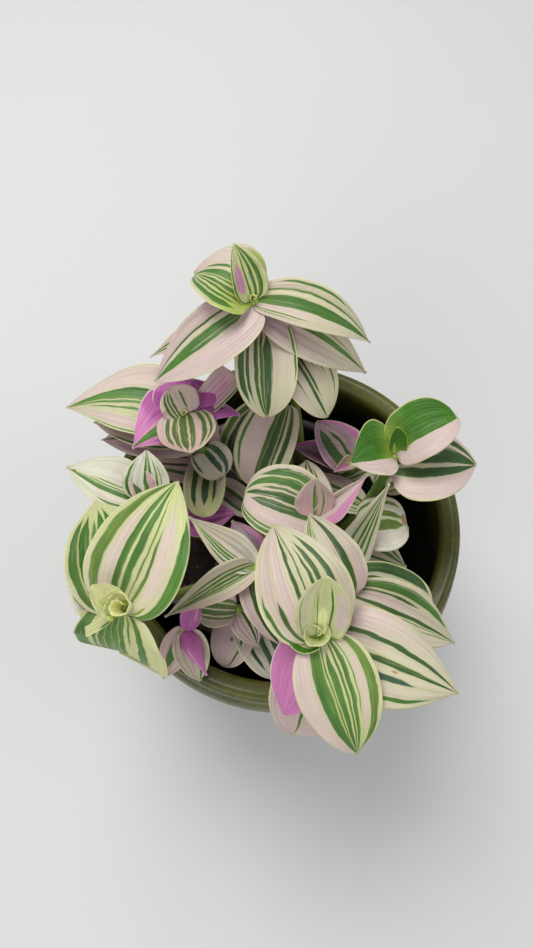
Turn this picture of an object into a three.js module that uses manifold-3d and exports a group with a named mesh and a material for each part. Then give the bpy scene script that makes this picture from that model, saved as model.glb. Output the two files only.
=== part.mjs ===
// A trailing foliage plant in its black nursery pot, set inside a glazed ceramic cover pot.
// Units are millimetres and +Z is up. The origin is the middle of the flat foot of the cover pot.

import * as THREE from 'three';
import { mergeVertices } from 'three/addons/utils/BufferGeometryUtils.js';
import Module from 'manifold-3d';

const wasm = await Module();
wasm.setup();

// Cover pot
const RIM_RADIUS = 82;
const BELLY_RADIUS = 84.3;
const FOOT_RADIUS = 48;
const POT_HEIGHT = 130;
const POT_FLOOR = 8.5;            // top of the floor inside it
const POT_SIDES = 40;

// Nursery pot, which stands a little off centre on that floor
const LINER_CENTRE = [-6, 2];
const LINER_HEIGHT = 104;
const LINER_FOOT_RADIUS = 40;
const LINER_WALL_RADIUS = 56;     // at the top, under the rim band
const LINER_RIM_RADIUS = 59.5;
const LINER_BAND = 9;             // height of the rim band
const LINER_WALL = 1.2;
const LINER_SIDES = 30;
const DRAIN_RADIUS = 5;
const DRAIN_CIRCLE = 24;
const DRAIN_COUNT = 5;

// Soil
const SOIL_LEVEL = 103;
const SOIL_LUMP = 1.6;            // how far the surface rises and falls
const SOIL_SIDES = 20;
const SOIL_RINGS = [14, 28, 42];

// Stems
const STEM_RADIUS = 2.7;
const STEM_TIP_RADIUS = 1.9;
const STEM_SIDES = 6;
const STEM_STEPS = 5;
const STEM_START = 106;           // height where a stem leaves its upright foot
const STEM_DEPTH = 15;            // how far its foot reaches down from there

// Blades
const BLADE_THICKNESS = 0.9;
const BLADE_TIP = 0.6;            // half width at the very tip
const BLADE_WAVE = 0.025;         // wave of the margin, as a share of the width
const SHORT_BLADE = 24;           // a blade shorter than this gets fewer facets

const CLEARANCE = 0.3;            // between pieces that touch on the real thing
const LINER_BOTTOM = POT_FLOOR + CLEARANCE;
const LINER_TOP = LINER_BOTTOM + LINER_HEIGHT;

// Outline of a blade: half width at the base, place of the widest point, and two exponents
// that say how it narrows to the tip.
const FORMS = {
  ovate: { base: 0.2, peak: 0.38, tip: 1.1, full: 1.8 },
  broad: { base: 0.3, peak: 0.34, tip: 0.95, full: 1.9 },
  round: { base: 0.45, peak: 0.45, tip: 0.55, full: 2.2 },
  lance: { base: 0.3, peak: 0.32, tip: 1.2, full: 1.5 },
  blunt: { base: 0.3, peak: 0.5, tip: 0.75, full: 2.3 },
  disc: { base: 0.6, peak: 0.5, tip: 0.5, full: 2.1 },
  fan: { base: 0.25, peak: 0.85, tip: 0.3, full: 4 },
  wedge: { base: 0.7, peak: 0.25, tip: 1, full: 1.4 },
};

// The shoots, each a stem with its leaves. root is the foot of the stem on the soil, bow the point
// that pulls its curve and crown its growing tip. A leaf row gives, in order: its place along the
// stem, heading, rise, length, width, arch as a share of the length, roll, fold, cup, the form of
// its outline, and skew.
const SHOOTS = [
  {
    name: 'shoot_back',
    root: [10, 40],
    bow: [6, 66, 160],
    crown: [-13, 67, 204],
    leaves: [
      [0.99, 150, -4, 28, 32, 0.24, 0, 5, 25, 'broad', 0],
      [1, 118, 50, 23, 17, 0.05, 0, 20, 20, 'broad', 0],
      [0.98, -149, -23, 52, 29, 0.1, -5, 8, 20, 'broad', 0.3],
      [0.98, -14, -13, 50, 20, 0.17, 14, 10, 20, 'ovate', 0.25],
      [0.93, -21, -24, 53, 22, 0.12, 20, 10, 15, 'ovate', 0],
      [0.87, -88, -26, 41, 27, 0.16, 0, 10, 20, 'blunt', 0],
      [0.8, -54, -22, 45, 25, 0.14, 0, 10, 15, 'blunt', 0],
      [0.85, -169, -15, 52, 16, 0.1, 0, 10, 15, 'ovate', 0],
      [0.6, 40, -4, 36, 22, 0.1, 0, 10, 15, 'ovate', 0],
      [0.42, 112, 2, 32, 20, 0.1, 0, 10, 15, 'ovate', 0],
      [0.68, 152, -4, 34, 20, 0.1, 0, 10, 15, 'ovate', 0],
    ],
  },
  {
    name: 'shoot_back_low',
    root: [4, 20],
    bow: [3, 36, 135],
    crown: [0, 45, 158],
    leaves: [
      [0.98, -113, -28, 40, 28, 0.12, 0, 10, 20, 'blunt', 0],
      [0.85, -128, -25, 36, 27, 0.05, 0, 5, 8, 'round', -0.5],
    ],
  },
  {
    name: 'shoot_left_back',
    root: [-28, 10],
    bow: [-34, 24, 145],
    crown: [-42, 33, 170],
    leaves: [
      [1, -80, 17, 22, 25, 0, 0, 5, 15, 'round', 0],
      [1, 122, 50, 14, 18, -0.05, 0, 5, 20, 'disc', 0],
      [0.93, -147, 8, 27, 30, -0.1, 180, 8, -12, 'wedge', 0.4],
      [0.96, 84, 18, 17, 31, -0.1, 180, 8, -12, 'round', 0],
      [0.97, -2, 9, 23, 14, -0.1, 172, 15, 10, 'broad', -0.5],
      [0.83, 168, -3, 58, 36, 0.1, 8, 10, 15, 'ovate', -0.28],
      [0.8, 169, -10, 48, 27, 0.08, 0, 10, 15, 'ovate', 0],
      [0.7, 174, -10, 46, 24, 0.08, 0, 10, 15, 'ovate', 0],
      [0.9, 40, 24, 29, 16, 0, 0, 15, 30, 'fan', 0],
      [0.62, -50, -6, 15.5, 18, 0.15, 0, 5, 10, 'disc', 0],
      [0.48, -93, -4, 25, 22, 0.1, 0, 5, 50, 'disc', 0],
      [0.25, -40, 4, 23, 18, 0.05, 0, 15, 40, 'round', 0],
      [0.55, 112, 4, 34, 22, 0.1, 0, 8, 15, 'ovate', 0],
      [0.4, 175, 3, 32, 18, 0.1, 0, 8, 15, 'ovate', 0],
    ],
  },
  {
    name: 'shoot_left',
    root: [-38, -2],
    bow: [-50, -2, 140],
    crown: [-57, -2, 161],
    leaves: [
      [0.96, 158, 1, 39, 24, 0.08, 0, 10, 15, 'ovate', 0],
      [1, 91, 25, 20.5, 21, 0.05, 0, 10, 20, 'broad', 0],
      [1, 112, 24, 12, 13, 0.05, 0, 15, 30, 'disc', 0],
      [0.8, -160, -4, 36, 22, 0.1, 0, 10, 15, 'ovate', 0],
      [0.42, 6, 6, 26, 18, -0.05, 180, 12, 10, 'broad', 0],
    ],
  },
  {
    name: 'shoot_left_front',
    root: [-36, -26],
    bow: [-56, -44, 150],
    crown: [-61, -53, 186],
    leaves: [
      [0.99, 66, 11, 51, 38, 0.1, 0, 8, 12, 'broad', -0.05],
      [0.93, 108, 0, 44, 33, 0.1, 0, 10, 15, 'broad', 0],
      [0.99, -102, -57, 22.5, 39, 0.16, 8, 4, 8, 'fan', 0.18],
      [1, 140, 50, 15, 15, 0, 0, 10, 60, 'disc', 0],
      [0.9, 157, -16, 27, 20, 0.1, 0, 10, 15, 'ovate', 0],
      [1, -160, -24, 15, 11, 0, 0, 10, 30, 'fan', 0],
      [0.62, 176, -8, 30, 20, 0.1, 0, 10, 15, 'ovate', 0],
    ],
  },
  {
    name: 'shoot_front',
    root: [4, -28],
    bow: [15, -50, 150],
    crown: [11.5, -64, 191],
    leaves: [
      [0.99, 112, 1, 44, 35, 0.1, 0, 8, 15, 'broad', 0],
      [1, 88, 58, 30, 20, 0, 0, 8, 20, 'blunt', 0],
      [0.95, -117, -34, 35, 25, -0.08, 180, 10, -15, 'broad', 0],
      [1, -70, -28, 45, 30, 0.13, 4, 6, 10, 'broad', 0],
      [0.92, -22, -7, 53, 33, 0.12, 10, 4, -12, 'broad', 0],
      [0.8, -104, -38, 47, 27, 0.1, 0, 8, 15, 'blunt', 0],
      [0.6, -60, -16, 36, 22, 0.1, 0, 8, 15, 'ovate', 0],
    ],
  },
  {
    name: 'shoot_front_right',
    root: [22, -20],
    bow: [26, -36, 145],
    crown: [24, -46, 176],
    leaves: [
      [1, 115, 2, 35, 22, 0.1, 0, 10, 15, 'broad', 0],
      [0.97, -20, -20, 48, 24, 0.1, 0, 8, 15, 'ovate', 0],
      [0.7, -14, -8, 36, 29, 0.1, 0, 8, 15, 'round', 0],
      [0.55, 64, 41, 50, 18, 0, 0, 25, 10, 'lance', 0.3],
      [0.45, -35, -6, 36, 22, 0.1, 0, 8, 15, 'ovate', 0],
    ],
  },
  {
    name: 'shoot_right',
    root: [30, 2],
    bow: [40, 2, 150],
    crown: [45, 12, 177],
    leaves: [
      [1, 24, 23, 28, 25, 0.1, 0, 5, 15, 'round', 0.2],
      [0.97, -166, 9, 19, 26, 0.05, 0, 12, 12, 'ovate', -0.25],
      [0.88, 1, -4, 36, 36, 0.1, 0, 8, 15, 'broad', -0.1],
      [1, 98, 60, 13, 9.5, 0, 0, 10, 45, 'round', 0],
      [0.62, 40, 2, 36, 24, 0.1, 0, 8, 15, 'ovate', 0],
      [0.36, 152, -7, 36, 17, 0.04, 0, 10, 15, 'broad', 0],
    ],
  },
  {
    name: 'shoot_centre',
    root: [8, 2],
    bow: [12, -8, 140],
    crown: [12, -12, 168],
    leaves: [
      [0.98, 160, 0, 30, 33, 0.1, 0, 8, 15, 'round', 0],
      [1, 92, 56, 19, 16.5, -0.1, 0, 5, 10, 'broad', 0],
      [0.98, 34, 22, 27, 15, 0, 10, 35, 20, 'lance', -0.45],
      [0.62, 92, 0, 30, 22, 0.1, 0, 8, 15, 'broad', 0],
      [0.6, -170, 0, 21, 15, 0.1, 0, 8, 15, 'ovate', 0],
      [0.34, 174, 4, 26, 17, 0.05, 180, 12, 10, 'broad', 0],
    ],
  },
  {
    name: 'shoot_right_low',
    root: [26, -10],
    bow: [29, -16, 135],
    crown: [31, -13, 155],
    leaves: [
      [1, 3, 0, 21, 25, 0.1, 0, 8, 15, 'round', 0],
      [0.6, -25, 0, 27, 18, 0.1, 0, 8, 15, 'ovate', 0],
    ],
  },
  {
    name: 'shoot_centre_front',
    root: [-4, -20],
    bow: [-10, -28, 135],
    crown: [-12, -30, 158],
    leaves: [
      [0.98, 143, 1, 35, 17, 0, -15, 20, 10, 'lance', 0],
      [0.98, -152, -7, 42, 18, 0.02, -15, 35, 10, 'lance', -0.15],
      [0.88, -72, -18, 33, 22, 0.1, 0, 10, 10, 'broad', 0],
      [0.6, 120, 4, 26, 17, 0.1, 0, 10, 10, 'ovate', 0],
      [0.34, 40, 4, 18, 13, 0.05, 180, 12, 10, 'broad', 0],
    ],
  },
  {
    name: 'shoot_front_left_low',
    root: [-34, -36],
    bow: [-38, -46, 130],
    crown: [-41, -54, 145],
    leaves: [
      [1, 66, 28, 17, 9.5, -0.08, 180, 15, 10, 'ovate', 0],
      [1, -62, -8, 20, 9, -0.1, 190, 20, 10, 'lance', 0],
      [0.9, -118, -24, 24, 14, 0.05, 0, 10, 10, 'ovate', 0],
      [0.96, -74, -28, 23, 16, 0.05, 0, 10, 20, 'broad', 0],
    ],
  },
  {
    name: 'shoot_front_low',
    root: [-14, -36],
    bow: [-18, -42, 125],
    crown: [-20, -44, 140],
    leaves: [
      [1, 176, 4, 20, 22, -0.1, 0, 15, 35, 'disc', 0],
      [0.9, -60, -14, 18, 14, 0.1, 0, 10, 15, 'ovate', 0],
      [0.55, -108, -8, 26, 20, 0.05, 0, 10, 15, 'round', 0],
      [0.4, -64, 4, 34, 23, 0.05, 0, 10, 15, 'round', 0],
    ],
  },
  {
    name: 'shoot_right_back_low',
    root: [22, 22],
    bow: [28, 22, 125],
    crown: [32, 20, 146],
    leaves: [
      [0.9, 128, 10, 26, 24, 0.1, 0, 20, 15, 'broad', 0],
      [0.84, 160, 8, 29, 19, 0, 0, 40, 15, 'ovate', 0],
      [1, -150, 21, 12, 12, 0, 0, 30, 50, 'ovate', 0],
      [0.6, 35, 4, 34, 20, 0.1, 0, 10, 15, 'ovate', 0],
    ],
  },
];

const radians = THREE.MathUtils.degToRad;
const { lerp } = THREE.MathUtils;

function vec(x, y, z) {
  return new THREE.Vector3(x, y, z);
}

function cross(a, b) {
  return new THREE.Vector3().crossVectors(a, b);
}

// Turns vertices and triangles into a solid whose faces point out.
function toSolid(points, triangles) {
  const vertProperties = new Float32Array(points.length * 3);
  points.forEach((p, i) => p.toArray(vertProperties, i * 3));
  let volume = 0;
  for (const [a, b, c] of triangles) {
    volume += points[a].dot(cross(points[b], points[c]));
  }
  const outward = volume < 0 ? triangles.map(([a, b, c]) => [a, c, b]) : triangles;
  const triVerts = new Uint32Array(outward.flat());
  return new wasm.Manifold(new wasm.Mesh({ numProp: 3, vertProperties, triVerts }));
}

function geometryToSolid(geometry) {
  geometry.deleteAttribute('normal');
  geometry.deleteAttribute('uv');
  const merged = mergeVertices(geometry, 1e-4);
  const position = merged.getAttribute('position');
  const points = [];
  for (let i = 0; i < position.count; i += 1) {
    points.push(new THREE.Vector3().fromBufferAttribute(position, i));
  }
  const index = merged.getIndex().array;
  const triangles = [];
  for (let i = 0; i < index.length; i += 3) {
    const [a, b, c] = [index[i], index[i + 1], index[i + 2]];
    if (a !== b && b !== c && c !== a) {
      triangles.push([a, b, c]);
    }
  }
  return toSolid(points, triangles);
}

function solidToMesh(solid, name, look) {
  const { numProp, vertProperties, triVerts } = solid.getMesh();
  const count = vertProperties.length / numProp;
  const position = new Float32Array(count * 3);
  for (let i = 0; i < count; i += 1) {
    position.set(vertProperties.subarray(i * numProp, i * numProp + 3), i * 3);
  }
  const geometry = new THREE.BufferGeometry();
  geometry.setAttribute('position', new THREE.BufferAttribute(position, 3));
  geometry.setIndex(new THREE.BufferAttribute(new Uint32Array(triVerts), 1));
  geometry.computeVertexNormals();
  const mesh = new THREE.Mesh(geometry, new THREE.MeshStandardMaterial(look));
  mesh.name = name;
  return mesh;
}

// A turned solid: the profile is a list of [radius, height] that starts and ends on the axis.
function turned(profile, sides) {
  const lathe = new THREE.LatheGeometry(profile.map(([r, z]) => new THREE.Vector2(r, z)), sides);
  lathe.rotateX(Math.PI / 2);
  return geometryToSolid(lathe);
}

// An upright round peg, to cut holes with.
function peg(radius, x, y, low, high) {
  const cylinder = new THREE.CylinderGeometry(radius, radius, high - low, 10);
  cylinder.rotateX(Math.PI / 2);
  cylinder.translate(x, y, (low + high) / 2);
  return geometryToSolid(cylinder);
}

// Bellied bowl with a short neck and a thick rolled rim that slopes in to a crisp edge.
function makePot() {
  const crest = RIM_RADIUS - 3;
  const lip = RIM_RADIUS - 8.6;
  return turned([
    [0, 0],
    [FOOT_RADIUS, 0],
    [FOOT_RADIUS + 4, 1.2],
    [FOOT_RADIUS + 6.5, 5],
    [64, 25],
    [75, 60],
    [81.5, 90],
    [BELLY_RADIUS, 109],
    [BELLY_RADIUS - 0.7, 117],
    [RIM_RADIUS - 0.4, 121.5],
    [RIM_RADIUS, POT_HEIGHT - 4],
    [RIM_RADIUS - 0.8, POT_HEIGHT - 1],
    [crest, POT_HEIGHT],
    [crest - 2.6, POT_HEIGHT - 0.6],
    [lip, POT_HEIGHT - 2.4],
    [lip - 0.8, POT_HEIGHT - 7],
    [75.4, 104],
    [73, 78],
    [66, 47],
    [55, 15],
    [FOOT_RADIUS + 1.5, POT_FLOOR],
    [0, POT_FLOOR],
  ], POT_SIDES);
}

// Inner radius of the nursery pot's wall at a height.
function linerInside(z) {
  return lerp(LINER_FOOT_RADIUS, LINER_WALL_RADIUS, (z - LINER_BOTTOM) / LINER_HEIGHT) - LINER_WALL;
}

// Radius of the soil at a height: clear of the flats between the corners of that wall.
function soilRadius(z) {
  return linerInside(z) * Math.cos(Math.PI / LINER_SIDES) - CLEARANCE;
}

function makeLiner() {
  const floor = LINER_BOTTOM + LINER_WALL;
  const band = LINER_TOP - LINER_BAND;
  let liner = turned([
    [0, LINER_BOTTOM],
    [LINER_FOOT_RADIUS, LINER_BOTTOM],
    [linerInside(band) + LINER_WALL, band],
    [LINER_RIM_RADIUS - 0.8, band + 0.6],
    [LINER_RIM_RADIUS, LINER_TOP - 1],
    [LINER_RIM_RADIUS - 1, LINER_TOP],
    [linerInside(LINER_TOP), LINER_TOP],
    [linerInside(floor), floor],
    [0, floor],
  ], LINER_SIDES);
  for (let i = 0; i < DRAIN_COUNT; i += 1) {
    const turn = (i / DRAIN_COUNT) * 2 * Math.PI;
    const x = DRAIN_CIRCLE * Math.cos(turn);
    const y = DRAIN_CIRCLE * Math.sin(turn);
    liner = liner.subtract(peg(DRAIN_RADIUS, x, y, LINER_BOTTOM - 1, floor + 1));
  }
  return liner.translate([...LINER_CENTRE, 0]);
}

// Height of the lumpy soil at a point, measured from the middle of the nursery pot.
function soilHeight(x, y) {
  const wide = Math.sin(x * 0.13 + 1.1) * Math.cos(y * 0.11 - 0.4);
  const fine = Math.sin(x * 0.41 - 0.7) * Math.sin(y * 0.37 + 2.1);
  return SOIL_LEVEL + SOIL_LUMP * (0.6 * wide + 0.4 * fine);
}

// The soil fills the nursery pot and has a plain round hole for each stem.
function makeSoil() {
  const bottom = LINER_BOTTOM + LINER_WALL + CLEARANCE;
  const rings = [...SOIL_RINGS, soilRadius(SOIL_LEVEL - SOIL_LUMP)];
  const points = [vec(0, 0, soilHeight(0, 0)), vec(0, 0, bottom)];
  const addRing = (radius, height) => {
    for (let i = 0; i < SOIL_SIDES; i += 1) {
      const turn = (i / SOIL_SIDES) * 2 * Math.PI;
      const [x, y] = [radius * Math.cos(turn), radius * Math.sin(turn)];
      points.push(vec(x, y, height(x, y)));
    }
  };
  rings.forEach((radius) => addRing(radius, soilHeight));
  addRing(soilRadius(bottom), () => bottom);
  const at = (ring, i) => 2 + ring * SOIL_SIDES + (i % SOIL_SIDES);
  const triangles = [];
  for (let i = 0; i < SOIL_SIDES; i += 1) {
    triangles.push([0, at(0, i), at(0, i + 1)]);
    triangles.push([1, at(rings.length, i + 1), at(rings.length, i)]);
    for (let ring = 0; ring < rings.length; ring += 1) {
      triangles.push([at(ring, i), at(ring + 1, i), at(ring + 1, i + 1)]);
      triangles.push([at(ring, i), at(ring + 1, i + 1), at(ring, i + 1)]);
    }
  }
  let soil = toSolid(points, triangles).translate([...LINER_CENTRE, 0]);
  for (const { root: [x, y] } of SHOOTS) {
    const low = STEM_START - STEM_DEPTH - CLEARANCE;
    soil = soil.subtract(peg(STEM_RADIUS + 1.5 * CLEARANCE, x, y, low, STEM_START + STEM_DEPTH));
  }
  return soil;
}

// A stem rises from its upright foot and leans out along one smooth curve to its crown.
function stemCurve({ root, bow, crown }) {
  return new THREE.QuadraticBezierCurve3(vec(...root, STEM_START), vec(...bow), vec(...crown));
}

function makeStem(shoot) {
  const curve = stemCurve(shoot);
  const foot = vec(...shoot.root, STEM_START - STEM_DEPTH);
  const stations = [{ centre: foot, along: vec(0, 0, 1), radius: STEM_RADIUS }];
  for (let i = 0; i <= STEM_STEPS; i += 1) {
    const t = i / STEM_STEPS;
    const along = curve.getTangent(t);
    if (i === 0) {
      along.add(vec(0, 0, 1)).normalize();
    }
    stations.push({ centre: curve.getPoint(t), along, radius: lerp(STEM_RADIUS, STEM_TIP_RADIUS, t) });
  }
  const points = [];
  for (const { centre, along, radius } of stations) {
    const across = vec(1, 0, 0).addScaledVector(along, -along.x).normalize();
    const other = cross(along, across);
    for (let i = 0; i < STEM_SIDES; i += 1) {
      const turn = (i / STEM_SIDES) * 2 * Math.PI;
      const point = centre.clone().addScaledVector(across, radius * Math.cos(turn));
      points.push(point.addScaledVector(other, radius * Math.sin(turn)));
    }
  }
  const low = points.length;
  const high = low + 1;
  points.push(foot, stations.at(-1).centre);
  const last = (stations.length - 1) * STEM_SIDES;
  const triangles = [];
  for (let i = 0; i < STEM_SIDES; i += 1) {
    const next = (i + 1) % STEM_SIDES;
    triangles.push([low, next, i]);
    triangles.push([high, last + i, last + next]);
    for (let ring = 0; ring < last; ring += STEM_SIDES) {
      const above = ring + STEM_SIDES;
      triangles.push([ring + i, ring + next, above + next]);
      triangles.push([ring + i, above + next, above + i]);
    }
  }
  return toSolid(points, triangles);
}

// Half width of a blade as a share of its widest, at a place s from base (0) to tip (1).
function bladeOutline(s, { base, peak, tip, full }) {
  if (s < peak) {
    return base + (1 - base) * Math.sqrt(1 - (1 - s / peak) ** 2);
  }
  return (1 - ((s - peak) / (1 - peak)) ** full) ** tip;
}

// Three directions of a blade: chord from base to tip, side across it, lift out of its face.
// heading turns it from +X, rise slopes it up, and roll turns it about its own chord.
function bladeFrame(heading, rise, roll) {
  const chord = vec(Math.cos(heading) * Math.cos(rise), Math.sin(heading) * Math.cos(rise), Math.sin(rise));
  const level = vec(-Math.sin(heading), Math.cos(heading), 0);
  const upright = cross(chord, level);
  const side = level.clone().multiplyScalar(Math.cos(roll)).addScaledVector(upright, Math.sin(roll));
  const lift = upright.clone().multiplyScalar(Math.cos(roll)).addScaledVector(level, -Math.sin(roll));
  return { chord, side, lift };
}

// Points of a blade's middle sheet, each with its normal, in rows from base to tip. The sheet
// is swept along an arched midrib, creased there by fold, cupped across, and waved at its margin.
// With a positive skew the left half, looking to the tip, is the wider one.
function bladeSheet(base, row, serial, steps, halves) {
  const [, heading, rise, length, width, arch, roll, fold, cup, form, skew] = row;
  const { chord, side, lift } = bladeFrame(radians(heading), radians(rise), radians(roll));
  const crease = radians(fold);
  const bend = radians(cup);
  const rows = [];
  for (let i = 0; i <= steps; i += 1) {
    const s = i / steps;
    const middle = base.clone().addScaledVector(chord, length * s)
      .addScaledVector(lift, arch * length * 4 * s * (1 - s));
    const tangent = chord.clone().addScaledVector(lift, arch * 4 * (1 - 2 * s)).normalize();
    const up = cross(tangent, side);
    const half = (width / 2) * bladeOutline(s, FORMS[form]);
    const line = [];
    for (let j = -halves; j <= halves; j += 1) {
      const a = Math.abs(j) / halves;
      const hand = Math.sign(j);
      const tilt = crease + bend * a;
      const reach = Math.max(half * (1 + hand * skew), BLADE_TIP);
      const out = (reach * (Math.sin(tilt) - Math.sin(crease))) / bend;
      const raised = (reach * (Math.cos(crease) - Math.cos(tilt))) / bend;
      const wave = BLADE_WAVE * width * a * a * Math.sin(9 * s + 2.4 * serial + hand) * Math.min(1, 4 * s);
      const point = middle.clone().addScaledVector(side, hand * out).addScaledVector(up, raised + wave);
      const normal = up.clone().multiplyScalar(hand ? Math.cos(tilt) : 1)
        .addScaledVector(side, -hand * Math.sin(tilt));
      line.push({ point, normal });
    }
    rows.push(line);
  }
  return rows;
}

function makeBlade(base, row, serial) {
  const isShort = row[3] < SHORT_BLADE;
  const steps = isShort ? 4 : 5;
  const halves = isShort ? 1 : 2;
  const points = [];
  for (const line of bladeSheet(base, row, serial, steps, halves)) {
    for (const { point, normal } of line) {
      points.push(point.clone().addScaledVector(normal, BLADE_THICKNESS / 2));
      points.push(point.clone().addScaledVector(normal, -BLADE_THICKNESS / 2));
    }
  }
  const across = 2 * halves;
  const top = (i, j) => 2 * (i * (across + 1) + j);
  const under = (i, j) => top(i, j) + 1;
  const triangles = [];
  const addQuad = (a, b, c, d) => triangles.push([a, b, c], [a, c, d]);
  for (let i = 0; i < steps; i += 1) {
    for (let j = 0; j < across; j += 1) {
      addQuad(top(i, j), top(i + 1, j), top(i + 1, j + 1), top(i, j + 1));
      triangles.push([under(i, j), under(i + 1, j + 1), under(i + 1, j)]);
      triangles.push([under(i, j), under(i, j + 1), under(i + 1, j + 1)]);
    }
    addQuad(top(i, 0), under(i, 0), under(i + 1, 0), top(i + 1, 0));
    addQuad(top(i, across), top(i + 1, across), under(i + 1, across), under(i, across));
  }
  for (let j = 0; j < across; j += 1) {
    addQuad(top(0, j), top(0, j + 1), under(0, j + 1), under(0, j));
    addQuad(top(steps, j), under(steps, j), under(steps, j + 1), top(steps, j + 1));
  }
  return toSolid(points, triangles);
}

// Blades start on the stem's middle line, so that their roots are well inside it.
function makeShoot(shoot) {
  const curve = stemCurve(shoot);
  let solid = makeStem(shoot);
  shoot.leaves.forEach((row, serial) => {
    solid = solid.add(makeBlade(curve.getPoint(row[0]), row, serial));
  });
  return solid;
}

const plant = new THREE.Group();
plant.add(solidToMesh(makePot(), 'pot', { color: 0x6d7048, roughness: 0.25, metalness: 0 }));
plant.add(solidToMesh(makeLiner(), 'nursery_pot', { color: 0x17181a, roughness: 0.45, metalness: 0 }));
plant.add(solidToMesh(makeSoil(), 'soil', { color: 0x2a1d15, roughness: 0.95, metalness: 0 }));
for (const shoot of SHOOTS) {
  plant.add(solidToMesh(makeShoot(shoot), shoot.name, { color: 0xc9c4a4, roughness: 0.5, metalness: 0 }));
}

export default plant;
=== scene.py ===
"""Looks of a potted trailing plant: variegated leafy shoots, nursery pot, soil and glazed cover pot.

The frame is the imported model. Lengths in the tables are millimetres, and a mesh is in metres.
"""

import math

import bpy
import numpy as np
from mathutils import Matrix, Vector


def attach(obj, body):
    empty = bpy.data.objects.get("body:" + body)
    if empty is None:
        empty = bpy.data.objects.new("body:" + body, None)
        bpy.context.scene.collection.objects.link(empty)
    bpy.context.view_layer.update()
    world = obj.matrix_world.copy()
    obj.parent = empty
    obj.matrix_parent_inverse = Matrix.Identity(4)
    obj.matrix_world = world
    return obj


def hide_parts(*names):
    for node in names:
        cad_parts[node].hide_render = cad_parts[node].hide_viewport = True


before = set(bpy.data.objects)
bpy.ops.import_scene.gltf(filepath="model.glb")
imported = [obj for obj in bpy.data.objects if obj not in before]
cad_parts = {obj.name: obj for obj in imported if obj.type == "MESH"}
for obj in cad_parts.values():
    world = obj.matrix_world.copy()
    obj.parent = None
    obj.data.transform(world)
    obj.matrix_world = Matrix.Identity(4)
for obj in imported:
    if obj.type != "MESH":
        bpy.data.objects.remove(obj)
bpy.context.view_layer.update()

MM = 0.001

# Cover pot: its outline from the middle of the foot, up the outside and down the inside
POT_OUTLINE = [
    (0, 0), (30, 0), (48, 0), (52, 1.2), (54.5, 5), (64, 25), (75, 60), (81.5, 90), (84.3, 109),
    (83.6, 117), (81.6, 121.5), (82, 126), (81.2, 129), (79, 130), (76.4, 129.4), (73.4, 127.6),
    (72.6, 123), (75.4, 104), (73, 78), (66, 47), (55, 15), (49.5, 8.5), (25, 8.5), (0, 8.5),
]
POT_HEIGHT = 130
POT_SIDES = 144
POT_PIECES = 4  # parts of each stretch of the outline, once it is rounded
FLAT_RADIUS = 49  # foot and floor stay flat this far out
CREST_RADIUS = 0.0750  # metres; the crest of the rim, where the glaze thins

# Nursery pot
LINER_CENTRE = (-6, 2)
LINER_BOTTOM = 8.8
LINER_HEIGHT = 104
LINER_FOOT_RADIUS = 40
LINER_WALL_RADIUS = 56
LINER_RIM_RADIUS = 59.5
LINER_BAND = 9
LINER_WALL = 1.2
LINER_SIDES = 96

# Soil
SOIL_LEVEL = 103
SOIL_LUMP = 1.6
SOIL_CRUMB = 0.7
SOIL_GAP = 0.7  # between the soil and the wall of the nursery pot
SOIL_SEED = 7
SOIL_RINGS = 46
SOIL_SIDES = 120

# Stems
STEM_RADIUS = 2.7
STEM_TIP_RADIUS = 1.9
STEM_START = 106  # height where a stem leaves its upright foot
STEM_DEPTH = 15  # how far its foot reaches down from there
STEM_COLLAR = 6  # how far down the foot has its second ring
STEM_TURN = 0.08  # share of the stem in which it turns from upright into its curve
STEM_SLACK = 0.93  # share of the radius, so that the skin stays inside the plain stem
STEM_SIDES = 18
STEM_STEPS = 60
JOINT_SWELL = 0.16
JOINT_REACH = 0.02  # half length of a swollen joint, as a share of the stem

# Blades
BLADE_TIP = 0.6
BLADE_WAVE = 0.025
BLADE_HALF_THICKNESS = 0.3
BLADE_RUFFLE = 0.35
BLADE_STEP = 1.15  # size of a facet
BLADE_KEEL = 0.004  # how softly the two halves meet; with 0 they would meet in a crease
BLADE_LEAST_STEPS = 18
BLADE_LEAST_COLUMNS = 7  # on each half
MARGIN_THINNING = 0.7
TIP_THINNING = 0.6
CHANCE_STEP = 0.6180339887  # from leaf to leaf, so that no two draw the same chance number

# Rolled young leaves at the growing tips: shift, heading, lean, radius, inner share of the radius,
# height, turns, start and look
CURLS = {
    "shoot_left_front": [((3.0, 0.5), -150, 12, 5.7, 0.22, 9, 1.5, 215, "curl")],
    "shoot_front": [
        ((-1.5, 3.2), -110, 24, 6.0, 0.22, 7.5, 1.5, 120, "curl_green"),
        ((-4.5, 4.2), -135, 15, 9.0, 0.85, 6, 0.40, -20, "sheath"),
    ],
    "shoot_back": [((0, 0), -60, 25, 1.6, 0.22, 4, 1.1, 40, "bud")],
    "shoot_left_back": [((0, 0), -70, 10, 1.4, 0.22, 3, 1.2, 10, "bud")],
}
CURL_CHANCE = 0.37
CURL_ROWS = 12
CURL_COLUMNS = 30  # facets in a full turn
CURL_LEAST_COLUMNS = 24

# Outline of a blade: half width at the base, place of the widest point, and two exponents
FORMS = {
    "ovate": (0.2, 0.38, 1.1, 1.8),
    "broad": (0.3, 0.34, 0.95, 1.9),
    "round": (0.45, 0.45, 0.55, 2.2),
    "lance": (0.3, 0.32, 1.2, 1.5),
    "blunt": (0.3, 0.5, 0.75, 2.3),
    "disc": (0.6, 0.5, 0.5, 2.1),
    "fan": (0.25, 0.85, 0.3, 4),
    "wedge": (0.7, 0.25, 1, 1.4),
}
USUAL = ("ovate", 0, "under")

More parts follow.
